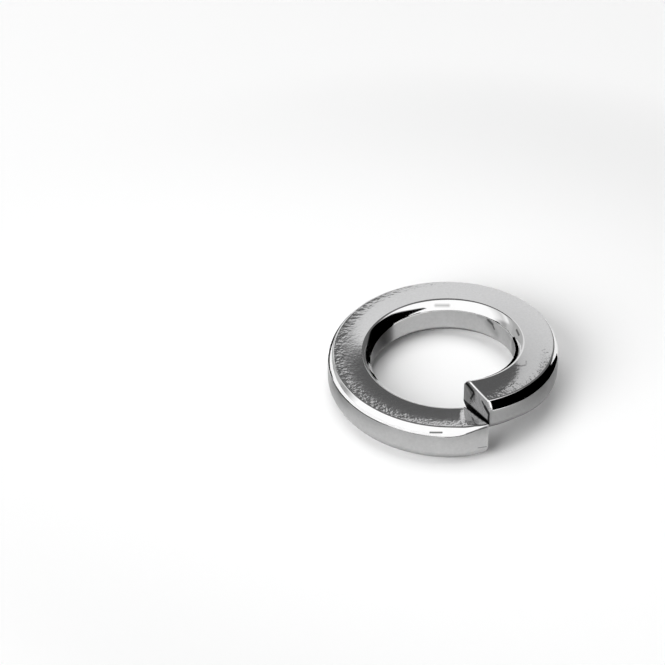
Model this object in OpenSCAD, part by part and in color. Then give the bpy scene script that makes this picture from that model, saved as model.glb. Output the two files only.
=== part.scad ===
// Spring lock washer: one left-handed turn of bevelled rectangular wire.
// The bore and the outside are true cylinders, the two broad faces climb as
// helicoids, and each end is sheared off by an upright plane.

/* [Ring] */
// Diameter of the bore, loose over a 20 mm bolt
bore_d = 20.5; // [17:0.1:30]
// Width of the wire, along the radius
wire_w = 6.15; // [4.5:0.05:9]
// Thickness of the wire, along the axis
wire_t = 5.4; // [4.5:0.1:8]

/* [Coil] */
// Height that the wire gains over one full turn
rise = 4.35; // [1:0.05:8]
// Roll of the wire at the raised end, inner edge up, in degrees
end_roll = 7; // [0:1:12]
// Length of arc over which that roll comes in, in degrees
roll_arc = 90; // [30:5:180]

/* [Corners] */
// Width of the two bevels round the bore, along the radius
inner_bevel_w = 1.1; // [0.4:0.05:1.6]
// Height of the two bevels round the bore, along the axis
inner_bevel_h = 1.05; // [0.4:0.05:1.6]
// Width of the two bevels round the outside, along the radius
outer_bevel_w = 0.65; // [0.4:0.05:1.6]
// Height of the two bevels round the outside, along the axis
outer_bevel_h = 1.15; // [0.4:0.05:1.6]
// How far the middle of each bevel stands proud of a straight slope
bevel_crown = 0.05; // [0:0.01:0.12]

/* [Split] */
// Direction of the split from the axis, in degrees from +X
split_dir = -68.7; // [-180:0.1:180]
// Gap between the two cut faces, at the outside
split_gap = 0.15; // [0.1:0.05:3]
// Angle between the raised end's cut and the radius, at the outside
raised_cut_skew = 12; // [0:1:15]
// How much more the lower end's cut is turned, so that the gap widens towards the bore
gap_spread = 6; // [0:1:8]

/* [Hidden] */
bore_r = bore_d / 2;
outer_r = bore_r + wire_w;
middle_r = (bore_r + outer_r) / 2;
half_t = wire_t / 2;
gap_angle = 2 * asin(split_gap / (2 * outer_r));
// Stock beyond each wall, which the tube trims off
trim = 0.4;
coil_steps = 150;

function ease(u) = let (v = min(max(u, 0), 1)) v * v * (3 - 2 * v);

// Angle at which an upright cut crosses radius r. The cut meets the outside at
// the angle called at, and is turned by skew from the radius there.
function cut_angle(r, at, skew) = at + skew - asin(outer_r * sin(skew) / r);

function lower_end(r) = cut_angle(r, split_dir, raised_cut_skew + gap_spread);
function raised_end(r) = cut_angle(r, split_dir + gap_angle - 360, raised_cut_skew);

// Middle of the slope from p to q, pushed out by the crown
function crowned(p, q) =
    let (run = q - p, out = [-run.y, run.x] / norm(run))
    (p + q) / 2 + out * bevel_crown;

// Where the line from p through q ends when it is carried on past the wall
function past_wall(p, q) = q + (q - p) * trim / abs(q.x - p.x);

// Upper half of the wire's section, from the bore outwards, as radius and height
// above the middle of the wire
function upper_half() =
    let (
        inner_wall = [bore_r, half_t - inner_bevel_h],
        inner_edge = [bore_r + inner_bevel_w, half_t],
        outer_edge = [outer_r - outer_bevel_w, half_t],
        outer_wall = [outer_r, half_t - outer_bevel_h],
        inner_crown = crowned(inner_wall, inner_edge),
        outer_crown = crowned(outer_edge, outer_wall)
    )
    [
        past_wall(inner_crown, inner_wall),
        inner_crown,
        inner_edge,
        outer_edge,
        outer_crown,
        past_wall(outer_crown, outer_wall)
    ];

function whole_section() =
    let (upper = upper_half(), last = len(upper) - 1)
    concat(upper, [for (i = [last:-1:0]) [upper[i].x, -upper[i].y]]);

// Place of a section point, at a share of the way from the lower end to the raised end
function on_coil(p, share) =
    let (
        start = lower_end(p.x),
        angle = start + share * (raised_end(p.x) - start),
        turned = split_dir - angle,
        roll = end_roll * ease((turned - 360 + roll_arc) / roll_arc),
        lift = rise * turned / 360 + (middle_r - p.x) * tan(roll)
    )
    [p.x * cos(angle), p.x * sin(angle), half_t + p.y + lift];

// The coiled wire with stock left on both walls
module coil_stock() {
    section = whole_section();
    n = len(section);
    points = [for (i = [0:coil_steps], p = section) on_coil(p, i / coil_steps)];
    sides = [
        for (i = [0:coil_steps - 1], j = [0:n - 1])
            let (k = (j + 1) % n)
            [i * n + j, i * n + k, (i + 1) * n + k, (i + 1) * n + j]
    ];
    lower_cut = [for (j = [n - 1:-1:0]) j];
    raised_cut = [for (j = [0:n - 1]) coil_steps * n + j];
    polyhedron(points, concat(sides, [lower_cut, raised_cut]), convexity = 6);
}

// The space between the bore and the outside, taller than the coil
module tube() {
    tall = rise + 3 * wire_t;
    translate([0, 0, -wire_t])
        difference() {
            cylinder(h = tall, r = outer_r, $fn = 180);
            translate([0, 0, -1])
                cylinder(h = tall + 2, r = bore_r, $fn = 180);
        }
}

module lock_washer() {
    color([0.80, 0.81, 0.82])
        intersection() {
            coil_stock();
            tube();
        }
}

lock_washer();
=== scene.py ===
import math

import bpy
from bpy.props import FloatProperty, FloatVectorProperty, IntProperty, PointerProperty
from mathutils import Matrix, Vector


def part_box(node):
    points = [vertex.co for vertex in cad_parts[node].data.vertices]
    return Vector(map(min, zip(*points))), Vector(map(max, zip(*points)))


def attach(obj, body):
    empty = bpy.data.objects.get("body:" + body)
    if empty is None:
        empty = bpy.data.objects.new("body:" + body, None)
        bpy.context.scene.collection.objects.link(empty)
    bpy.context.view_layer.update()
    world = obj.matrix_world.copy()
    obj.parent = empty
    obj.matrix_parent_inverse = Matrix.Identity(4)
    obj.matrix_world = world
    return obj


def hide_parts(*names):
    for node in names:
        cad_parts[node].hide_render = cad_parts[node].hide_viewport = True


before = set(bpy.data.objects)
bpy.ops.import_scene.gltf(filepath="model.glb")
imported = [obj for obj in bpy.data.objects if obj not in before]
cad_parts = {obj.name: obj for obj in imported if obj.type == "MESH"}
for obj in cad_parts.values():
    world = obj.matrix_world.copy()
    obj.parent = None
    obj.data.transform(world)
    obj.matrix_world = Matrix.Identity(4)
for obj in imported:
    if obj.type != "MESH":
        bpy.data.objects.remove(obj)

bl_info = {
    "name": "Spring Lock Washer",
    "version": (1, 0, 0),
    "blender": (4, 5, 0),
    "location": "3D View > Sidebar > Lock Washer",
    "description": "Models a bright plated spring lock washer lying on a pale floor",
    "category": "Object",
}

MM = 0.001
NODE = "lock_washer"
CAD_LOW, CAD_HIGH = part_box(NODE)
OUTER_RADIUS = (CAD_HIGH.x - CAD_LOW.x) / 2
TOUCHING = 0.0001 * MM
SIDE_CUTS = 8  # points added along each flat, bevel and wall of the section
CROWDING = 0.142  # how much closer those points lie towards the ends of a side
END_RINGS = 4  # rings of faces round the soft edge of a sheared end
FLAT, BEVEL, WALL, SHEARED = range(4)  # the coil's materials, in their order


def length(name, description, default):
    """A length that the sidebar shows, in metres."""
    return FloatProperty(name=name, description=description, default=default, min=0, subtype="DISTANCE",
                         unit="LENGTH", precision=5)


def angle(name, description, degrees):
    """An angle that the sidebar shows."""
    return FloatProperty(name=name, description=description, default=math.radians(degrees), subtype="ANGLE",
                         unit="ROTATION")


def share(name, description, default):
    """A plain number from 0 to 1."""
    return FloatProperty(name=name, description=description, default=default, min=0, max=1, subtype="FACTOR")


def power(name, description, default):
    """A lamp's power, in watts."""
    return FloatProperty(name=name, description=description, default=default, min=0, unit="POWER")


def colour(name, description, default):
    """A colour that the sidebar shows."""
    return FloatVectorProperty(name=name, description=description, default=default, size=3, min=0, max=1,
                               subtype="COLOR")


class WasherSizes(bpy.types.PropertyGroup):
    """Sizes of the coiled wire and its two sheared ends."""

    outer_radius: length("Outer radius", "Radius of the outside wall", OUTER_RADIUS)
    wire_width: length("Wire width", "Width of the wire from bore to outside", 6.15 * MM)
    wire_height: length("Wire height", "Height of the wire between its flats", 5.4 * MM)
    rise: length("Rise", "Height that the wire climbs in one turn", 4.35 * MM)
    inner_bevel_width: length("Inner bevel width", "Width of the bevels next to the bore", 1.1 * MM)
    inner_bevel_height: length("Inner bevel height", "Height of the bevels next to the bore", 1.15 * MM)
    outer_bevel_width: length("Outer bevel width", "Width of the outside bevels", 0.65 * MM)
    outer_bevel_height: length("Outer bevel height", "Height of the outside bevels", 1.15 * MM)
    bevel_crown: length("Bevel crown", "How far the bevels bulge in the middle", 0.05 * MM)
    flat_hollow: length("Flat hollow", "How far the flats sink in the middle", 0.05 * MM)
    border: length("Border", "Width of the soft borders between flats, bevels and walls", 0.17 * MM)
    swell_height: length("Swell height", "How much deeper the inner bevel reaches at its swell", 0.35 * MM)
    swell_turn: angle("Swell turn", "Where the inner bevel swells, round the coil from the lower end", 121)
    swell_arc: angle("Swell arc", "Length of coil to each side of the swell's middle", 62)
    split_direction: angle("Split direction", "Direction of the split, from +X towards +Y", -68.7)
    split_gap: length("Split gap", "Opening of the split at the outside", 0.15 * MM)
    lower_skew: angle("Lower end skew", "Angle between the lower end's cut and the radius", 15.5)
    raised_skew: angle("Raised end skew", "Angle between the raised end's cut and the radius", 12)
    end_roll: angle("End roll", "Twist of the wire at the raised end", 7)
    roll_arc: angle("Roll arc", "Length of coil over which the wire twists", 90)
    narrow_arc: angle("Narrowing arc", "Length of coil over which the lower end's bevel narrows", 20)
    narrow_width: share("Narrowed width", "Share of the outside bevel's width left at the lower end", 0.4)
    narrow_height: share("Narrowed height", "Share of the outside bevel's height left there", 0.1)
    tip_lift: length("Tip lift", "How far the lower end's outside corner bends up", 0.4 * MM)
    lift_arc: angle("Lift arc", "Length of coil over which the lower end bends up", 13)
    foot_lift: length("Foot lift", "How far the raised end's lower outside edge is drawn up", 0.75 * MM)
    foot_arc: angle("Foot arc", "How far from the raised end its lower edge starts to be drawn up", 42)
    foot_level: angle("Foot level", "How far from the raised end its lower edge is fully drawn up", 12)
    raised_edge: length("Raised end's edge", "Softness of the raised end's edge", 0.32 * MM)
    lower_edge: length("Lower end's edge", "Softness of the lower end's edge", 0.06 * MM)
    coil_steps: IntProperty(name="Coil steps", description="Steps of the coil's sweep", default=330, min=60)


class WasherFinish(bpy.types.PropertyGroup):
    """Colours, textures and shades of the flats, bevels, walls and sheared ends."""

    flat_colour: colour("Flat colour", "Colour of the satin flats", (0.8, 0.8, 0.805))
    bevel_colour: colour("Bevel colour", "Colour of the polished bevels", (0.96, 0.96, 0.96))
    wall_colour: colour("Wall colour", "Colour of the duller walls", (0.52, 0.52, 0.52))
    shear_colour: colour("Shear colour", "Colour of the sheared ends", (0.42, 0.42, 0.42))
    flat_roughness: share("Flat roughness", "Roughness of the satin flats", 0.07)
    bevel_roughness: share("Bevel roughness", "Roughness of the polished bevels", 0.06)
    wall_roughness: share("Wall roughness", "Roughness of the duller walls", 0.42)
    shear_roughness: share("Shear roughness", "Roughness of the sheared ends", 0.2)
    mottle_size: length("Mottle size", "Size of the mottles on the flats", 0.3 * MM)
    mottle_depth: length("Mottle depth", "Depth of the mottles on the flats", 0.009 * MM)
    mottle_rest: share("Mottle rest", "How much of the mottles' depth stays outside their band", 0.15)
    band_inset: length("Band inset", "Distance from the outside to the mottled band's middle", 1.5 * MM)
    band_half_width: length("Band half width", "Half the width of the mottled band", 0.7 * MM)
    band_softness: length("Band softness", "How softly the mottled band ends", 0.5 * MM)
    smear_size: length("Smear size", "Size of the smears on the bevels", 1.2 * MM)
    smear_depth: length("Smear depth", "Depth of the smears on the bevels", 0.004 * MM)
    patch_size: length("Patch size", "Size of the paler patches on the walls", 1.6 * MM)
    streak_size: length("Streak size", "Width of the streaks on the sheared ends", 0.22 * MM)
    streak_depth: length("Streak depth", "Depth of the streaks on the sheared ends", 0.002 * MM)
    # Painted shade: the feet of the walls and of the bore's wall are darkened where shadow lies under the
    # wire.
    foot_height: length("Foot height", "Height up to which the walls are darker", 0.5 * MM)
    foot_softness: length("Foot softness", "How softly the darker foot ends", 0.45 * MM)
    foot_painted_shade: share("Foot shade", "How much darker the foot of the walls is", 0.35)
    bore_foot_height: length("Bore foot height", "Height up to which the bore's wall is darker", 0.9 * MM)
    bore_foot_softness: length("Bore foot softness", "How softly the bore's darker foot ends", 0.25 * MM)
    bore_foot_painted_shade: share("Bore foot shade", "How much darker the foot of the bore's wall is", 0.75)
    # Painted shade: the sheared ends are darkened up to this height, where the split between them lies in
    # shadow.
    split_height: length("Split height", "How far above the lower end the raised end stays dark", 0.75 * MM)
    split_painted_shade: share("Split shade", "How much darker the ends are where they face each other", 0.97)
    grain_size: length("Grain size", "Size of the fine grain", 0.16 * MM)
    grain_depth: length("Grain depth", "Depth of the fine grain", 0.0016 * MM)


class WasherStudio(bpy.types.PropertyGroup):
    """Light and paper of the stage."""

    paper_colour: colour("Paper colour", "Colour of the floor", (0.95, 0.95, 0.95))
    paper_glow: share("Paper glow", "Light that the floor adds for the camera alone", 0.04)
    ceiling_light: share("Ceiling light", "Light of the dark ceiling that the metal sees", 0.115)
    fill_light: share("Fill light", "Light from all round that fills the shadows", 0.18)
    lamp_distance: length("Lamp distance", "Distance of the lamps from the washer", 1500 * MM)
    key_size: length("Key lamp size", "Diameter of the lamp at the front left", 1212 * MM)
    key_power: power("Key lamp power", "Power of the lamp at the front left", 19.8)
    top_size: length("Top lamp size", "Diameter of the lamp overhead", 1336 * MM)
    top_power: power("Top lamp power", "Power of the lamp overhead", 11.4)


def deselect_everything():
    """Leaves edit mode and clears the selection."""
    if bpy.context.object and bpy.context.object.mode != "OBJECT":
        bpy.ops.object.mode_set(mode="OBJECT")
    bpy.ops.object.select_all(action="DESELECT")


def select_only(piece):
    """Selects one piece and makes it active."""
    deselect_everything()
    piece.select_set(True)
    bpy.context.view_layer.objects.active = piece


def finished(result, what):
    """Raises an error where an operator was cancelled."""
    if "FINISHED" not in result:
        raise RuntimeError(what + " didn't finish")


def add_section(sizes):
    """The wire's section, upright at +X: hollow flats, plain walls, crowned bevels and soft borders."""
    half_w, half_h = sizes.wire_width / 2, sizes.wire_height / 2
    centre = Vector((sizes.outer_radius - half_w, 0, half_h))
    deselect_everything()
    upright = (math.pi / 2, 0, 0)
    finished(bpy.ops.mesh.primitive_plane_add(size=1, location=centre, rotation=upright), "section")
    section = bpy.context.object
    section.name = "washer_coil"
    section.scale = (sizes.wire_width, sizes.wire_height, 1)
    bpy.ops.object.transform_apply(location=True, rotation=True, scale=True)
    bpy.ops.object.mode_set(mode="EDIT")
    bevels = (
        (-1, sizes.inner_bevel_width, sizes.inner_bevel_height),
        (1, sizes.outer_bevel_width, sizes.outer_bevel_height),
    )
    for side, width, height in bevels:
        for up in (-1, 1):
            normal = Vector((side * height, 0, up * width)).normalized()
            edge_point = centre + Vector((side * half_w, 0, up * (half_h - height)))
            bpy.ops.mesh.select_all(action="SELECT")
            finished(bpy.ops.mesh.bisect(plane_co=edge_point, plane_no=normal, clear_outer=True,
                                         use_fill=False, threshold=TOUCHING), "bevel cut")
    bpy.ops.mesh.select_all(action="SELECT")
    finished(bpy.ops.mesh.bevel(offset=sizes.border, segments=4, affect="VERTICES"), "soft borders")
    bpy.ops.mesh.select_all(action="SELECT")
    bpy.ops.mesh.delete(type="ONLY_FACE")
    shape_sides(section, centre, sizes)
    return section


def shape_sides(section, centre, sizes):
    """Divides the section's long sides, hollows the flats and crowns the bevels."""
    straight = 0.99
    bpy.ops.object.mode_set(mode="OBJECT")
    mesh = section.data
    sides = []
    for edge in mesh.edges:
        start, end = (mesh.vertices[i].co.copy() for i in edge.vertices)
        edge.select = (end - start).length > 3 * sizes.border
        if edge.select:
            sides.append((start, end))
    bpy.ops.object.mode_set(mode="EDIT")
    bpy.ops.mesh.select_mode(type="EDGE")
    bpy.ops.mesh.subdivide(number_cuts=SIDE_CUTS)
    bpy.ops.object.mode_set(mode="OBJECT")
    for start, end in sides:
        along = end - start
        outwards = Vector((along.z, 0, -along.x)).normalized()
        if outwards.dot((start + end) / 2 - centre) < 0:
            outwards = -outwards
        if abs(outwards.z) > straight:
            bulge = -sizes.flat_hollow
        elif abs(outwards.x) > straight:
            bulge = 0
        else:
            bulge = sizes.bevel_crown
        for vertex in mesh.vertices:
            from_start = vertex.co - start
            part = from_start.dot(along) / along.length_squared
            between_ends = 0.001 < part < 0.999
            if between_ends and abs(from_start.dot(outwards)) < TOUCHING:
                part -= CROWDING * math.sin(math.tau * part)
                vertex.co = start + along * part + outwards * bulge * 4 * part * (1 - part)


def cut_plane(at, skew, sizes):
    """The upright plane of a skewed cut that meets the outside at an angle.

    Gives its normal and its distance from the axis."""
    facing = at + skew - math.pi / 2
    return Vector((math.cos(facing), math.sin(facing), 0)), sizes.outer_radius * math.sin(skew)


def cut_reach(skew, sizes):
    """How far round the coil a skewed cut runs from the outside to the bore."""
    bore_radius = sizes.outer_radius - sizes.wire_width
    return math.asin(sizes.outer_radius * math.sin(skew) / bore_radius) - skew


def gap_angle(sizes):
    """The angle that the split takes up at the outside."""
    return 2 * math.asin(sizes.split_gap / (2 * sizes.outer_radius))


def ease(amount):
    """Runs smoothly from 0 to 1 as the amount does."""
    amount = min(max(amount, 0), 1)
    return amount * amount * (3 - 2 * amount)


def sweep_coil(coil, sizes):
    """Turns the section into a coil that climbs clockwise, a little too long at both ends.

    The turn attribute says how far each vertex lies round the coil from the lower end."""
    spare = math.radians(2)
    sweep = math.tau - gap_angle(sizes) + cut_reach(sizes.raised_skew, sizes) + 2 * spare
    ring = len(coil.data.vertices)
    screw = coil.modifiers.new("coil", "SCREW")
    screw.axis = "Z"
    screw.angle = -sweep
    screw.screw_offset = sizes.rise * sweep / math.tau
    screw.steps = screw.render_steps = sizes.coil_steps
    select_only(coil)
    finished(bpy.ops.object.modifier_apply(modifier=screw.name), "coil")
    coil.rotation_euler.z = sizes.split_direction + spare
    coil.location.z = -sizes.rise * spare / math.tau
    bpy.ops.object.transform_apply(location=True, rotation=True, scale=True)
    turn = coil.data.attributes.new("turn", "FLOAT", "POINT")
    for index, item in enumerate(turn.data):
        item.value = index // ring * sweep / sizes.coil_steps - spare
    mark_surfaces(coil)


def mark_surfaces(coil):
    """Gives each face of the plain coil the finish of a flat, a bevel or a wall, by the way it leans."""
    mostly = math.radians(4.5)
    for face in coil.data.polygons:
        outwards = face.center.xy.normalized().dot(face.normal.xy)
        lean = math.atan2(abs(outwards), abs(face.normal.z))
        if lean < mostly:
            face.material_index = FLAT
        elif lean > math.pi / 2 - mostly:
            face.material_index = WALL
        else:
            face.material_index = BEVEL if face.normal.z > 0 else WALL


def vertices_and_turns(coil):
    """Each vertex of the coil with its turn from the lower end."""
    turns = coil.data.attributes["turn"].data
    return [(vertex, item.value) for vertex, item in zip(coil.data.vertices, turns)]


def out_from_bore(vertex, sizes):
    """How far a vertex lies out from the bore."""
    return vertex.co.xy.length - sizes.outer_radius + sizes.wire_width


def twist_raised_end(coil, sizes):
    """Twists the last stretch of the wire, so that its inner edge stands higher."""
    middle_radius = sizes.outer_radius - sizes.wire_width / 2
    for vertex, turn in vertices_and_turns(coil):
        roll = sizes.end_roll * ease((turn - math.tau + sizes.roll_arc) / sizes.roll_arc)
        vertex.co.z += (middle_radius - vertex.co.xy.length) * math.tan(roll)


def narrow_lower_bevel(coil, sizes):
    """Draws the top outside bevel in towards the lower end's corner, as the shear leaves it."""
    width_reach, height_reach = sizes.outer_bevel_width * 1.25, sizes.outer_bevel_height * 1.2
    for vertex, turn in vertices_and_turns(coil):
        narrowing = 1 - ease(turn / sizes.narrow_arc)
        top = sizes.wire_height + sizes.rise * turn / math.tau
        in_from_wall = sizes.outer_radius - vertex.co.xy.length
        below_top = top - vertex.co.z
        if narrowing > 0 and in_from_wall < width_reach and below_top < height_reach:
            kept_width = 1 - narrowing * (1 - sizes.narrow_width)
            kept_height = 1 - narrowing * (1 - sizes.narrow_height)
            radius = sizes.outer_radius - in_from_wall * kept_width
            vertex.co.xy = vertex.co.xy.normalized() * radius
            vertex.co.z = top - below_top * kept_height


def lift_lower_tip(coil, sizes):
    """Bends the lower end up, most of all at its outside corner, as the shear leaves it."""
    share_at_bore = 0.3
    for vertex, turn in vertices_and_turns(coil):
        part = share_at_bore + (1 - share_at_bore) * out_from_bore(vertex, sizes) / sizes.wire_width
        vertex.co.z += sizes.tip_lift * (1 - ease(turn / sizes.lift_arc)) * part


def draw_up_raised_foot(coil, sizes):
    """Draws the lower outside edge up towards the raised end, where the wire thins outwards."""
    fade_top = 3.2 * MM
    for vertex, turn in vertices_and_turns(coil):
        drawing = ease((turn - math.tau + sizes.foot_arc) / (sizes.foot_arc - sizes.foot_level))
        if drawing > 0:
            above = vertex.co.z - sizes.rise * turn / math.tau
            part = out_from_bore(vertex, sizes) / sizes.wire_width
            share_down = ease((fade_top - above) / (fade_top - sizes.outer_bevel_height))
            vertex.co.z += sizes.foot_lift * drawing * part * share_down


def swell_inner_bevel(coil, sizes):
    """Lets the top inside bevel reach deeper down the bore wall along part of the coil."""
    fade_height, width_reach = 1.6 * MM, sizes.inner_bevel_width * 1.2
    for vertex, turn in vertices_and_turns(coil):
        swelling = ease(1 - abs(turn - sizes.swell_turn) / sizes.swell_arc)
        below_top = sizes.wire_height + sizes.rise * turn / math.tau - vertex.co.z
        if swelling > 0 and out_from_bore(vertex, sizes) < width_reach:
            if below_top < sizes.inner_bevel_height:
                share_down = ease(below_top / sizes.inner_bevel_height)
            else:
                share_down = ease(1 - (below_top - sizes.inner_bevel_height) / fade_height)
            vertex.co.z -= sizes.swell_height * swelling * share_down


def trim_end(coil, raised, sizes):
    """Shears one end of the coil along its skewed plane, with a soft edge round the sheared face."""
    spare, end_stretch = math.radians(8), math.radians(60)
    if raised:
        normal, distance = cut_plane(sizes.split_direction + gap_angle(sizes), sizes.raised_skew, sizes)
        near_end = [turn > math.tau - spare for _, turn in vertices_and_turns(coil)]
        outwards = normal
        soft = sizes.raised_edge
    else:
        normal, distance = cut_plane(sizes.split_direction, sizes.lower_skew, sizes)
        reach = cut_reach(sizes.lower_skew, sizes)
        near_end = [turn < reach + spare for _, turn in vertices_and_turns(coil)]
        outwards = -normal
        soft = sizes.lower_edge
    face_point = normal * distance - outwards * soft
    mesh = coil.data
    for item in (*mesh.edges, *mesh.polygons):
        item.select = False
    for vertex, wanted in zip(mesh.vertices, near_end):
        vertex.select = wanted
    select_only(coil)
    bpy.ops.object.mode_set(mode="EDIT")
    bpy.ops.mesh.select_mode(type="VERT")
    finished(bpy.ops.mesh.bisect(plane_co=face_point, plane_no=outwards, clear_outer=True, use_fill=True,
                                 threshold=TOUCHING), "shear")
    bpy.ops.object.mode_set(mode="OBJECT")
    cap = sheared_face(coil, outwards, face_point)
    round_off(coil, cap, outwards, soft, sizes)
    turns = [item.value for item in mesh.attributes["turn"].data]
    for face in mesh.polygons:
        turn = sum(turns[i] for i in face.vertices) / len(face.vertices)
        at_this_end = turn > math.tau - end_stretch if raised else turn < end_stretch
        if at_this_end and (face.center - face_point).dot(outwards) > -10 * TOUCHING:
            face.material_index = end_finish(face, outwards)


def round_off(coil, cap, outwards, soft, sizes):
    """Draws a sheared face out in rings that shrink, as a quarter round does, towards a lower corner."""
    corners = [coil.data.vertices[i].co.copy() for i in coil.data.polygons[cap].vertices]
    bore_corner = min(corners, key=lambda corner: corner.xy.length)
    pivot = Vector((bore_corner.x, bore_corner.y, min(corner.z for corner in corners)))
    select_only_face(coil, cap)
    bpy.ops.object.mode_set(mode="EDIT")
    bpy.ops.mesh.select_mode(type="FACE")
    size = 1
    for ring in range(END_RINGS):
        before, after = (math.pi / 2 * done / END_RINGS for done in (ring, ring + 1))
        step = outwards * soft * (math.sin(after) - math.sin(before))
        pivot = pivot + step
        bpy.ops.mesh.extrude_region_move(TRANSFORM_OT_translate={"value": step})
        new_size = 1 - soft * (1 - math.cos(after)) / sizes.wire_height
        bpy.ops.transform.resize(value=(new_size / size,) * 3, center_override=pivot)
        size = new_size
    bpy.ops.object.mode_set(mode="OBJECT")


def end_finish(face, outwards):
    """The finish of a face on a sheared end: torn in the middle, polished on the upper rim, else dull."""
    straight_out, upwards = 0.95, 0.3
    if face.normal.dot(outwards) > straight_out:
        return SHEARED
    return BEVEL if face.normal.z > upwards else WALL


def select_only_face(piece, face):
    """Selects one face of a mesh, in object mode."""
    mesh = piece.data
    for item in (*mesh.vertices, *mesh.edges, *mesh.polygons):
        item.select = False
    mesh.polygons[face].select = True


def sheared_face(coil, outwards, point):
    """The index of the face that closes a sheared end."""
    straight_out = 0.999
    found = [face.index for face in coil.data.polygons if face.normal.dot(outwards) > straight_out
             and abs((face.center - point).dot(outwards)) < 100 * TOUCHING]
    if len(found) != 1:
        raise RuntimeError(f"{len(found)} faces close a sheared end, but one should")
    return found[0]


class LOCKWASHER_OT_coil(bpy.types.Operator):
    """Models the washer's coil of bevelled wire with its two sheared ends"""

    bl_idname = "lock_washer.coil"
    bl_label = "Make Washer"

    def execute(self, context):
        sizes = context.scene.washer_sizes
        coil = add_section(sizes)
        sweep_coil(coil, sizes)
        draw_up_raised_foot(coil, sizes)
        twist_raised_end(coil, sizes)
        narrow_lower_bevel(coil, sizes)
        lift_lower_tip(coil, sizes)
        swell_inner_bevel(coil, sizes)
        trim_end(coil, True, sizes)
        trim_end(coil, False, sizes)
        select_only(coil)
        bpy.ops.object.shade_smooth_by_angle(angle=math.radians(30))
        finish = context.scene.washer_finish
        for material in (satin_flat(finish, sizes), polished_bevel(finish), dull_wall(finish, sizes),
                         sheared_end(finish, sizes)):
            coil.data.materials.append(material)
        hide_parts(NODE)
        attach(coil, "root")
        return {"FINISHED"}


def add_node(tree, kind, **settings):
    """Adds a node of this kind to a tree and sets its own settings."""
    node = tree.nodes.new("ShaderNode" + kind)
    for name, value in settings.items():
        setattr(node, name, value)
    return node


def plug(tree, socket, source):
    """Feeds an input from another node's output, or sets it to a number."""
    if isinstance(source, bpy.types.NodeSocket):
        tree.links.new(source, socket)
    else:
        socket.default_value = source


def calculate(tree, operation, *sources):
    """The output of a Math node."""
    node = add_node(tree, "Math", operation=operation)
    for socket, source in zip(node.inputs, sources):
        plug(tree, socket, source)
    return node.outputs["Value"]


def soft_step(tree, value, border, softness):
    """Runs from 0 to 1 as a value passes a border."""
    node = add_node(tree, "MapRange", interpolation_type="SMOOTHSTEP")
    plug(tree, node.inputs["Value"], calculate(tree, "SUBTRACT", value, border))
    node.inputs["From Min"].default_value = -softness
    node.inputs["From Max"].default_value = softness
    return node.outputs["Result"]


def below(tree, value, border, softness):
    """Runs from 1 to 0 as a value passes a border."""
    return calculate(tree, "SUBTRACT", 1.0, soft_step(tree, value, border, softness))


def profile(tree, azimuth, points, highest):
    """A height that follows a line of points, each at a number of degrees round the horizon."""
    first, last = points[0][0], points[-1][0]
    node = add_node(tree, "FloatCurve")
    curve = node.mapping.curves[0]
    places = [((degrees - first) / (last - first), height / highest) for degrees, height in points]
    for place in places[1:-1]:
        curve.points.new(*place)
    curve.points[0].location, curve.points[-1].location = places[0], places[-1]
    for point in curve.points:
        point.handle_type = "VECTOR"
    node.mapping.update()
    plug(tree, node.inputs["Value"], calculate(tree, "DIVIDE", calculate(tree, "SUBTRACT", azimuth, first),
                                               last - first))
    return calculate(tree, "MULTIPLY", node.outputs["Value"], highest)


def vector_math(tree, operation, *sources, output="Vector"):
    """An output of a Vector Math node."""
    node = add_node(tree, "VectorMath", operation=operation)
    for socket, source in zip(node.inputs, sources):
        plug(tree, socket, source)
    return node.outputs[output]


def new_finish(name, base, roughness):
    """A metal with this colour and roughness: its material, tree, shader and place on the object."""
    material = bpy.data.materials.new(name)
    material.use_nodes = True
    tree = material.node_tree
    shader = tree.nodes["Principled BSDF"]
    shader.inputs["Metallic"].default_value = 1
    shader.inputs["Base Color"].default_value = (*base, 1)
    shader.inputs["Roughness"].default_value = roughness
    return material, tree, shader, add_node(tree, "TexCoord").outputs["Object"]


def noise(tree, place, size, detail=1.0, stretch=(1, 1, 1)):
    """Smooth noise from -1 to 1 with lumps of this size."""
    if stretch != (1, 1, 1):
        place = vector_math(tree, "MULTIPLY", place, stretch)
    node = add_node(tree, "TexNoise")
    plug(tree, node.inputs["Vector"], place)
    node.inputs["Scale"].default_value = 1 / (2 * size)
    node.inputs["Detail"].default_value = detail
    return calculate(tree, "MULTIPLY_ADD", node.outputs["Fac"], 2.0, -1.0)


def relief(tree, shader, height, depth):
    """Raises and sinks the surface by a height from -1 to 1, times a depth."""
    bump = add_node(tree, "Bump")
    bump.inputs["Strength"].default_value = 1
    bump.inputs["Distance"].default_value = depth
    plug(tree, bump.inputs["Height"], height)
    tree.links.new(bump.outputs["Normal"], shader.inputs["Normal"])


def tint(tree, shader, base, shade):
    """Multiplies the base colour by a shade."""
    tinted = vector_math(tree, "SCALE", base)
    plug(tree, tinted.node.inputs["Scale"], shade)
    tree.links.new(tinted, shader.inputs["Base Color"])


def vary(tree, shader, middle, amount, noise_value):
    """Lets the roughness follow a noise."""
    plug(tree, shader.inputs["Roughness"], calculate(tree, "MULTIPLY_ADD", noise_value, amount, middle))


def radius_of(tree, place):
    """Distance from the washer's axis."""
    level = vector_math(tree, "MULTIPLY", place, (1, 1, 0))
    return vector_math(tree, "LENGTH", level, output="Value")


def height_of(tree, place):
    """Height above the table."""
    split = add_node(tree, "SeparateXYZ")
    tree.links.new(place, split.inputs[0])
    return split.outputs["Z"]


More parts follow.
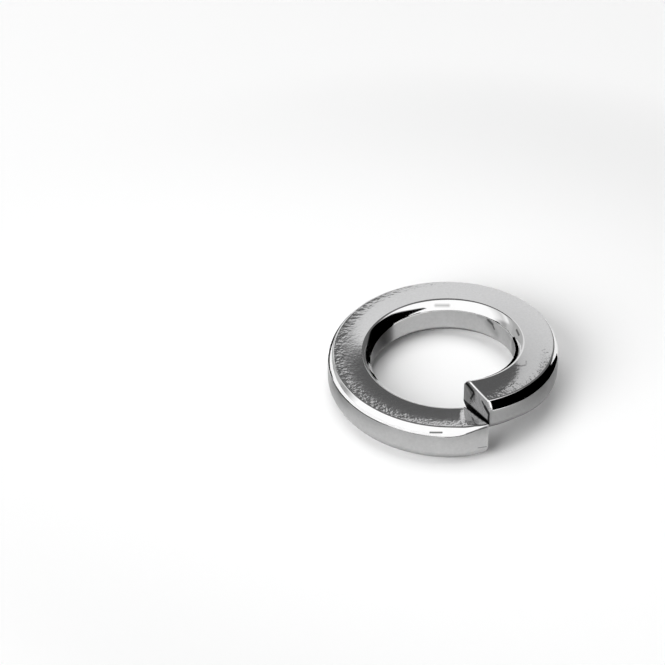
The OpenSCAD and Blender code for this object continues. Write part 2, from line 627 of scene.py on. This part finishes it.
def above_underside(tree, place, sizes):
    """Height above the wire's underside, which climbs with the coil and is drawn up at the raised end."""
    turn = add_node(tree, "Attribute", attribute_name="turn").outputs["Fac"]
    above = calculate(tree, "MULTIPLY_ADD", turn, -sizes.rise / math.tau, height_of(tree, place))
    half_way = math.tau - (sizes.foot_arc + sizes.foot_level) / 2
    drawn_up = soft_step(tree, turn, half_way, (sizes.foot_arc - sizes.foot_level) / 2)
    return calculate(tree, "MULTIPLY_ADD", drawn_up, -sizes.foot_lift, above)


def strokes(tree, place, lines):
    """1 on any of the strokes, else 0. Each has two points, a half width and a softness, in mm."""
    total = None
    for start, end, half_width, softness in lines:
        along = (Vector(end) - Vector(start)) * MM
        from_start = vector_math(tree, "SUBTRACT", place, Vector(start) * MM)
        run = vector_math(tree, "DOT_PRODUCT", from_start, along, output="Value")
        part = calculate(tree, "DIVIDE", run, along.length_squared)
        part.node.use_clamp = True
        nearest = vector_math(tree, "SCALE", along)
        plug(tree, nearest.node.inputs["Scale"], part)
        off_line = vector_math(tree, "SUBTRACT", from_start, nearest)
        away = vector_math(tree, "LENGTH", off_line, output="Value")
        on_stroke = below(tree, away, half_width * MM, softness * MM)
        total = on_stroke if total is None else calculate(tree, "MAXIMUM", total, on_stroke)
    return total


def darkened(tree, shade, marks, depth):
    """A shade made darker by this share on the marks."""
    return calculate(tree, "MULTIPLY", shade, calculate(tree, "MULTIPLY_ADD", marks, -depth, 1.0))


# Dark marks, each from one point to another with a half width and a softness, in mm; some are painted shadow
# and shade.
FLAT_NICKS = (
    ((14.55, -3.0, 8.97), (14.7, -3.0, 8.97), 0.08, 0.06),
    ((10.1, -6.5, 9.38), (10.7, -6.6, 9.33), 0.12, 0.22),
    ((10.7, -6.6, 9.33), (11.3, -6.3, 9.27), 0.1, 0.2),
    ((11.45, -6.1, 9.27), (11.5, -5.3, 9.22), 0.02, 0.22),
)
# Painted shadow: a dark line under the lip where the lower end's outside bevel narrows.
PAINTED_LIP_SHADOW = (
    ((2.0, -16.28, 4.5), (2.83, -16.15, 4.78), 0.05, 0.06),
    ((2.83, -16.15, 4.78), (4.22, -15.85, 5.2), 0.1, 0.06),
    ((4.22, -15.85, 5.2), (5.65, -15.4, 5.38), 0.1, 0.06),
)
BEVEL_MARKS_AND_LIP_SHADOW = PAINTED_LIP_SHADOW + (
    ((-2.2, -16.1, 5.0), (-0.6, -16.15, 5.04), 0.13, 0.07),
    ((10.6, 3.1, 8.4), (10.85, 1.7, 8.5), 0.13, 0.12),
)
BEVEL_SMUDGES = (
    ((-0.7, 10.67, 7.2), (1.1, 10.6, 7.24), 0.2, 0.25),
)
WALL_MARKS_AND_LIP_SHADOW = PAINTED_LIP_SHADOW + (
    ((6.8, 7.65, 6.75), (7.35, 7.15, 6.45), 0.27, 0.2),
    ((7.35, 7.15, 6.45), (7.65, 6.85, 5.8), 0.15, 0.15),
    ((4.55, -15.74, 2.0), (5.7, -15.37, 1.9), 0.06, 0.08),
)
# The two long strokes darken the raised end's outside wall with painted shade; the two short ones are dark
# smudges by the bore.
WALL_SMUDGES_AND_PAINTED_SHADE = (
    ((5.6, 8.6, 7.0), (7.9, 6.55, 7.5), 0.4, 0.4),
    ((5.5, -15.5, 6.4), (13.6, -9.1, 5.9), 2.0, 1.3),
    ((12.0, -11.2, 4.9), (15.2, -6.2, 5.2), 1.3, 1.5),
    ((6.9, 7.6, 6.2), (7.9, 6.5, 5.2), 0.6, 0.6),
)
# Tears on the raised end's sheared face: each point is a way along the face from the bore and a height.
SHEAR_CORNER, SHEAR_ALONG = Vector((2.66, -10.1, 0)), Vector((0.5555, -0.8315, 0))
TEARS = (
    ((0.14, 9.35), (2.05, 8.87), 0.27, 0.1),
    ((2.05, 8.87), (2.2, 8.6), 0.25, 0.1),
    ((2.2, 8.6), (1.57, 7.26), 0.17, 0.12),
    ((4.2, 8.46), (4.9, 7.95), 0.17, 0.12),
    ((4.9, 7.95), (5.9, 7.3), 0.33, 0.1),
    ((5.9, 7.3), (5.8, 6.3), 0.27, 0.12),
)


def on_shear(along, height):
    """A point of the raised end's sheared face, in mm."""
    return SHEAR_CORNER + SHEAR_ALONG * along + Vector((0, 0, height))


def satin_flat(finish, sizes):
    """The flats: satin, and mottled most of all in a band near the outside."""
    material, tree, shader, place = new_finish("satin_flat", finish.flat_colour, finish.flat_roughness)
    roughness_change, shade_change, nick_shade = 0.03, 0.05, 0.6
    mottle = noise(tree, place, finish.mottle_size, detail=2.0)
    grain = noise(tree, place, finish.grain_size)
    band_middle = sizes.outer_radius - finish.band_inset
    off_band = calculate(tree, "ABSOLUTE", calculate(tree, "SUBTRACT", radius_of(tree, place), band_middle))
    band = below(tree, off_band, finish.band_half_width, finish.band_softness)
    strength = calculate(tree, "MULTIPLY_ADD", band, 1 - finish.mottle_rest, finish.mottle_rest)
    height = calculate(tree, "MULTIPLY_ADD", grain, finish.grain_depth / finish.mottle_depth,
                       calculate(tree, "MULTIPLY", mottle, strength))
    relief(tree, shader, height, finish.mottle_depth)
    vary(tree, shader, finish.flat_roughness, roughness_change, mottle)
    shade = calculate(tree, "MULTIPLY_ADD", grain, shade_change, 1.0)
    shade = darkened(tree, shade, strokes(tree, place, FLAT_NICKS), nick_shade)
    tint(tree, shader, finish.flat_colour, shade)
    return material


def polished_bevel(finish):
    """The bevels and borders: polished, with faint smears."""
    base, roughness = finish.bevel_colour, finish.bevel_roughness
    material, tree, shader, place = new_finish("polished_bevel", base, roughness)
    roughness_change, shade_middle, shade_change, nick_shade, smudge_shade = 0.04, 0.98, 0.04, 0.8, 0.45
    smears = noise(tree, place, finish.smear_size)
    relief(tree, shader, smears, finish.smear_depth)
    vary(tree, shader, roughness, roughness_change, smears)
    shade = calculate(tree, "MULTIPLY_ADD", smears, shade_change, shade_middle)
    # Dark marks, with the painted shadow line under the narrowed bevel's lip.
    shade = darkened(tree, shade, strokes(tree, place, BEVEL_MARKS_AND_LIP_SHADOW), nick_shade)
    shade = darkened(tree, shade, strokes(tree, place, BEVEL_SMUDGES), smudge_shade)
    tint(tree, shader, base, shade)
    return material


def dull_wall(finish, sizes):
    """The walls and lower borders: duller, with a fine grain, and with painted shade towards the underside.
    """
    material, tree, shader, place = new_finish("dull_wall", finish.wall_colour, finish.wall_roughness)
    roughness_change, grain_change, patch_change, nick_shade, smudge_shade = 0.1, 0.1, 0.12, 0.75, 0.3
    grain = noise(tree, place, finish.grain_size * 1.3, detail=2.0)
    patches = noise(tree, place, finish.patch_size, detail=2.0)
    relief(tree, shader, grain, finish.grain_depth * 2)
    vary(tree, shader, finish.wall_roughness, roughness_change, patches)
    shade = calculate(tree, "MULTIPLY_ADD", patches, patch_change, 1.0)
    shade = calculate(tree, "MULTIPLY_ADD", grain, grain_change, shade)
    height = above_underside(tree, place, sizes)
    bore_side = sizes.outer_radius - sizes.wire_width + sizes.inner_bevel_width + 0.2 * MM
    inside = calculate(tree, "LESS_THAN", radius_of(tree, place), bore_side)
    # Painted shade, darkening the feet of the walls and of the bore's wall where shadow lies under the wire.
    foot = below(tree, height, finish.foot_height, finish.foot_softness)
    bore_foot = calculate(tree, "MULTIPLY", inside,
                          below(tree, height, finish.bore_foot_height, finish.bore_foot_softness))
    shade = darkened(tree, shade, foot, finish.foot_painted_shade)
    shade = darkened(tree, shade, bore_foot, finish.bore_foot_painted_shade)
    # Dark marks, with the painted shadow line under the narrowed bevel's lip.
    shade = darkened(tree, shade, strokes(tree, place, WALL_MARKS_AND_LIP_SHADOW), nick_shade)
    # Dark smudges, and painted shade on the raised end's outside wall.
    shade = darkened(tree, shade, strokes(tree, place, WALL_SMUDGES_AND_PAINTED_SHADE), smudge_shade)
    tint(tree, shader, finish.wall_colour, shade)
    return material


def sheared_end(finish, sizes):
    """The sheared ends: torn streaks up and down, and painted shade where the two ends face each other in
    the split.
    """
    material, tree, shader, place = new_finish("sheared_end", finish.shear_colour, finish.shear_roughness)
    roughness_change, streak_change, tear_shade, border_softness = 0.04, 0.25, 0.97, 0.15 * MM
    streaks = noise(tree, place, finish.streak_size, detail=2.0, stretch=(1, 1, 0.25))
    relief(tree, shader, streaks, finish.streak_depth)
    vary(tree, shader, finish.shear_roughness, roughness_change, streaks)
    # Painted shade in the split, where the two ends face each other.
    facing = below(tree, height_of(tree, place), sizes.wire_height + finish.split_height, border_softness)
    shade = calculate(tree, "MULTIPLY_ADD", streaks, streak_change, 1.0)
    shade = darkened(tree, shade, facing, finish.split_painted_shade)
    tears = strokes(tree, place, [(on_shear(*start), on_shear(*end), half_width, softness)
                                  for start, end, half_width, softness in TEARS])
    tint(tree, shader, finish.shear_colour, darkened(tree, shade, tears, tear_shade))
    return material


# The room that the metal sees. Each pair has a number of degrees clockwise from the front, and there a
# height in degrees or, for the walls and the window, a brightness.
ZENITH, BRIGHTEST = 90, 1.2
CEILING = (
    (0, 72), (45, 70), (90, 62), (108, 57), (122, 44), (140, 40), (158, 41), (165, 44), (195, 46),
    (204, 54), (230, 60), (260, 66), (300, 70), (360, 72),
)
FAR_CEILING = (
    (168, 90), (170, 44.5), (176, 43.1), (180, 42.6), (183, 41.7), (185, 40), (186, 37), (186.8, 33.2),
    (187.6, 34.5), (190, 39), (192.5, 43), (194, 42), (195.4, 34), (200, 33), (211, 33), (216, 90),
)
WALLS = (
    (0, 1.05), (85, 1.05), (102, 0.36), (109, 0.36), (112, 0.5), (122, 0.5), (125, 0.42), (152, 0.42),
    (165, 0.78), (180, 0.76), (192, 0.62), (198, 0.45), (205, 0.16), (215, 0.12), (240, 0.12),
    (252, 0.16), (258, 0.3), (266, 0.85), (280, 0.95), (300, 1.05), (360, 1.05),
)
WINDOW = (
    (60, 0), (84, 0), (102, 0.4), (105, 0.3), (109, 0.4), (115, 0.4), (118, 0.05), (124, 0), (130, 0),
)
CARD_TOP = (
    (0, 0), (212, 0), (229, 0), (240, 8), (250, 20), (254, 31), (260, 39), (280, 46), (300, 46.5),
    (335, 45), (341, 41), (343, 0), (360, 0),
)
CARD_FOOT = ((0, 0), (313, 0), (314.5, 28), (341, 41), (360, 45))
WINDOW_FOOT = 22


def make_world(context):
    """The room: metal sees pale walls, a dark ceiling and a black card, and the camera sees plain white."""
    studio = context.scene.washer_studio
    world = bpy.data.worlds.new("studio")
    context.scene.world = world
    world.use_nodes = True
    tree = world.node_tree
    background = tree.nodes["Background"]
    direction = add_node(tree, "SeparateXYZ")
    tree.links.new(add_node(tree, "TexCoord").outputs["Generated"], direction.inputs[0])
    x, y, z = direction.outputs
    left, nearer = (calculate(tree, "MULTIPLY", part, -1.0) for part in (x, y))
    turn = calculate(tree, "ARCTAN2", left, nearer)
    azimuth = calculate(tree, "WRAP", calculate(tree, "DEGREES", turn), 360.0, 0.0)
    height = calculate(tree, "DEGREES", calculate(tree, "ARCSINE", z))
    ceiling_edge = calculate(tree, "MINIMUM", profile(tree, azimuth, CEILING, ZENITH),
                             profile(tree, azimuth, FAR_CEILING, ZENITH))
    under_ceiling = below(tree, height, ceiling_edge, 0.9)
    under_top = below(tree, height, profile(tree, azimuth, CARD_TOP, ZENITH), 2.0)
    above_foot = soft_step(tree, height, profile(tree, azimuth, CARD_FOOT, ZENITH), 1.0)
    on_card = calculate(tree, "MULTIPLY", under_top, above_foot)
    window = calculate(tree, "MULTIPLY", profile(tree, azimuth, WINDOW, BRIGHTEST),
                       soft_step(tree, height, WINDOW_FOOT, 5))
    walls = calculate(tree, "ADD", profile(tree, azimuth, WALLS, BRIGHTEST), window)
    lit = calculate(tree, "MULTIPLY", darkened(tree, walls, on_card, 1), under_ceiling)
    on_ceiling = calculate(tree, "SUBTRACT", 1.0, under_ceiling)
    dark = calculate(tree, "MULTIPLY", on_ceiling, studio.ceiling_light)
    path = add_node(tree, "LightPath")
    seen = calculate(tree, "MULTIPLY", calculate(tree, "ADD", lit, dark), path.outputs["Is Glossy Ray"])
    unshiny = calculate(tree, "SUBTRACT", 1.0, path.outputs["Is Glossy Ray"])
    lights_matt = calculate(tree, "MULTIPLY", unshiny, path.outputs["Is Diffuse Ray"])
    fill = calculate(tree, "MULTIPLY", lights_matt, studio.fill_light)
    shown = calculate(tree, "ADD", calculate(tree, "ADD", seen, fill), path.outputs["Is Camera Ray"])
    plug(tree, background.inputs["Strength"], shown)
    background.inputs["Color"].default_value = (1, 1, 1, 1)


def make_floor(sizes, studio):
    """The floor: pale paper that lies against the washer's underside and is level further out."""
    near_radius, level_radius, far_radius, rings = 26 * MM, 90 * MM, 2000 * MM, 24
    inner_radius = sizes.outer_radius - sizes.wire_width + sizes.inner_bevel_width
    outer_radius = sizes.outer_radius - sizes.outer_bevel_width
    to_split = Vector((math.cos(sizes.split_direction), math.sin(sizes.split_direction)))
    clockwise = Vector((to_split.y, -to_split.x))
    slope = (-to_split * sizes.rise / 2 / (outer_radius + inner_radius)
             - clockwise * sizes.rise / (math.tau * outer_radius))
    height = sizes.rise / 2 * inner_radius / (outer_radius + inner_radius)
    deselect_everything()
    bpy.ops.mesh.primitive_circle_add(vertices=96, radius=near_radius, fill_type="NGON", location=(0, 0, 0))
    floor = bpy.context.object
    floor.name = "paper_floor"
    bpy.ops.object.mode_set(mode="EDIT")
    bpy.ops.mesh.select_mode(type="EDGE")
    bpy.ops.mesh.select_all(action="SELECT")
    radii = [near_radius + (level_radius - near_radius) * (ring + 1) / rings for ring in range(rings)]
    for before, after in zip([near_radius, *radii], [*radii, far_radius]):
        bpy.ops.mesh.extrude_edges_move()
        bpy.ops.transform.resize(value=(after / before,) * 3, center_override=(0, 0, 0))
    bpy.ops.object.mode_set(mode="OBJECT")
    for vertex in floor.data.vertices:
        levelling = ease((vertex.co.xy.length - near_radius) / (level_radius - near_radius))
        vertex.co.z = (height + slope.dot(vertex.co.xy)) * (1 - levelling)
    bpy.ops.object.shade_smooth()
    floor.data.materials.append(paper(studio))


def matt(name, base):
    """A material without any shine, and its shader."""
    material = bpy.data.materials.new(name)
    material.use_nodes = True
    shader = material.node_tree.nodes["Principled BSDF"]
    shader.inputs["Base Color"].default_value = (*base, 1)
    shader.inputs["Roughness"].default_value = 1
    shader.inputs["Specular IOR Level"].default_value = 0
    return material, shader


def paper(studio):
    """Plain white paper, which the camera sees slightly lighter than it is."""
    material, shader = matt("paper", studio.paper_colour)
    tree = material.node_tree
    shader.inputs["Emission Color"].default_value = (1, 1, 1, 1)
    for_camera = add_node(tree, "LightPath").outputs["Is Camera Ray"]
    glow = calculate(tree, "MULTIPLY", for_camera, studio.paper_glow)
    plug(tree, shader.inputs["Emission Strength"], glow)
    return material


def make_lamp(context, name, azimuth, elevation, size, watts):
    """A round soft lamp at this many degrees clockwise from the front and above the floor."""
    azimuth, elevation = math.radians(azimuth), math.radians(elevation)
    place = Vector((-math.sin(azimuth) * math.cos(elevation), -math.cos(azimuth) * math.cos(elevation),
                    math.sin(elevation))) * context.scene.washer_studio.lamp_distance
    deselect_everything()
    bpy.ops.object.light_add(type="AREA", location=place, rotation=place.to_track_quat("Z", "Y").to_euler())
    lamp = context.object
    lamp.name = name
    lamp.data.shape = "DISK"
    lamp.data.size = size
    lamp.data.energy = watts
    lamp.visible_glossy = False


def make_camera(context):
    """The camera, at the photograph's viewing angle and distance."""
    target, distance, elevation = Vector((-15.727, 13.723, 0)) * MM, 436.06 * MM, math.radians(36.775)
    back = Vector((0, -math.cos(elevation), math.sin(elevation)))
    deselect_everything()
    bpy.ops.object.camera_add(location=target + back * distance, rotation=(math.pi / 2 - elevation, 0, 0))
    camera = context.object
    camera.data.lens = 159.97
    camera.data.clip_start, camera.data.clip_end = 0.01, 20
    context.scene.camera = camera


# Upright black cards that the metal mirrors: two ends, the foot's height and the top's at each end, in mm.
BLACK_CARDS = (
    ("right_flag", (22, -35), (22, 5.5), 0, 28.5, 4.6),
    ("far_left_flag", (-15.3, 17), (-19.9, 8), 0, 10, 5),
    ("left_flag", (-19.9, 8), (-22.2, -1.1), 0, 5, 1.8),
    ("front_left_flag", (-19.8, 0.5), (-18, -9), 0.8, 4.2, 3.8),
    ("low_left_flag", (-18, -9), (-12, -17.5), 1.6, 3.6, 3.4),
    ("front_flag", (-12, -17.5), (0, -21.2), 2, 3.2, 2.8),
    ("front_right_flag", (0, -21.2), (8, -20.5), 1.6, 3, 4),
    ("near_bore_flag", (-9.8, -1.2), (-7.52, 3.93), 1, 2.6, 4.4),
    ("left_bore_flag", (-7.52, 3.93), (-6, 7.35), 1, 5.2, 10.8),
    ("right_bore_flag", (9.1, 3.2), (5.5, 4.4), 1, 8, 7.4),
)


def make_card(material, name, start, end, foot, start_top, end_top):
    """A black card that only the metal sees."""
    deselect_everything()
    start, end = Vector((*start, 0)) * MM, Vector((*end, 0)) * MM
    along = end - start
    bpy.ops.mesh.primitive_plane_add(size=1, location=(start + end) / 2,
                                     rotation=(math.pi / 2, 0, math.atan2(along.y, along.x)))
    card = bpy.context.object
    card.name = name
    card.scale = (along.length, 1, 1)
    bpy.ops.object.transform_apply(location=True, rotation=True, scale=True)
    for vertex in card.data.vertices:
        part = (vertex.co - start).dot(along) / along.length_squared
        top = start_top + (end_top - start_top) * part
        vertex.co.z = (top if vertex.co.z > 0 else foot) * MM
    card.data.materials.append(material)
    card.visible_camera = card.visible_diffuse = card.visible_shadow = False


class LOCKWASHER_OT_stage(bpy.types.Operator):
    """Makes the pale floor, the world, the lamps, the black cards and the camera"""

    bl_idname = "lock_washer.stage"
    bl_label = "Make Stage"

    def execute(self, context):
        scene = context.scene
        studio = scene.washer_studio
        scene.view_settings.view_transform = "Standard"
        make_world(context)
        make_floor(scene.washer_sizes, studio)
        make_lamp(context, "key_lamp", 45, 30, studio.key_size, studio.key_power)
        make_lamp(context, "top_lamp", 124, 80, studio.top_size, studio.top_power)
        black, _ = matt("black_card", (0, 0, 0))
        for card in BLACK_CARDS:
            make_card(black, *card)
        make_camera(context)
        return {"FINISHED"}


class LOCKWASHER_PT_sidebar(bpy.types.Panel):
    """Lists the washer's sizes, finishes, studio and operators"""

    bl_idname = "LOCKWASHER_PT_sidebar"
    bl_label = "Lock Washer"
    bl_space_type = "VIEW_3D"
    bl_region_type = "UI"
    bl_category = "Lock Washer"

    def draw(self, context):
        scene = context.scene
        groups = {"Sizes": scene.washer_sizes, "Finish": scene.washer_finish, "Studio": scene.washer_studio}
        for title, group in groups.items():
            box = self.layout.box()
            box.label(text=title)
            for name in group.__annotations__:
                box.prop(group, name)
        for operator in (LOCKWASHER_OT_coil, LOCKWASHER_OT_stage):
            self.layout.operator(operator.bl_idname)


CLASSES = (WasherSizes, WasherFinish, WasherStudio, LOCKWASHER_OT_coil, LOCKWASHER_OT_stage,
           LOCKWASHER_PT_sidebar)


def register():
    for cls in CLASSES:
        bpy.utils.register_class(cls)
    bpy.types.Scene.washer_sizes = PointerProperty(type=WasherSizes)
    bpy.types.Scene.washer_finish = PointerProperty(type=WasherFinish)
    bpy.types.Scene.washer_studio = PointerProperty(type=WasherStudio)


def unregister():
    del bpy.types.Scene.washer_studio
    del bpy.types.Scene.washer_finish
    del bpy.types.Scene.washer_sizes
    for cls in reversed(CLASSES):
        bpy.utils.unregister_class(cls)


def main():
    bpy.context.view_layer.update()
    register()
    finished(bpy.ops.lock_washer.coil(), "washer")
    finished(bpy.ops.lock_washer.stage(), "stage")


if __name__ == "__main__":
    main()
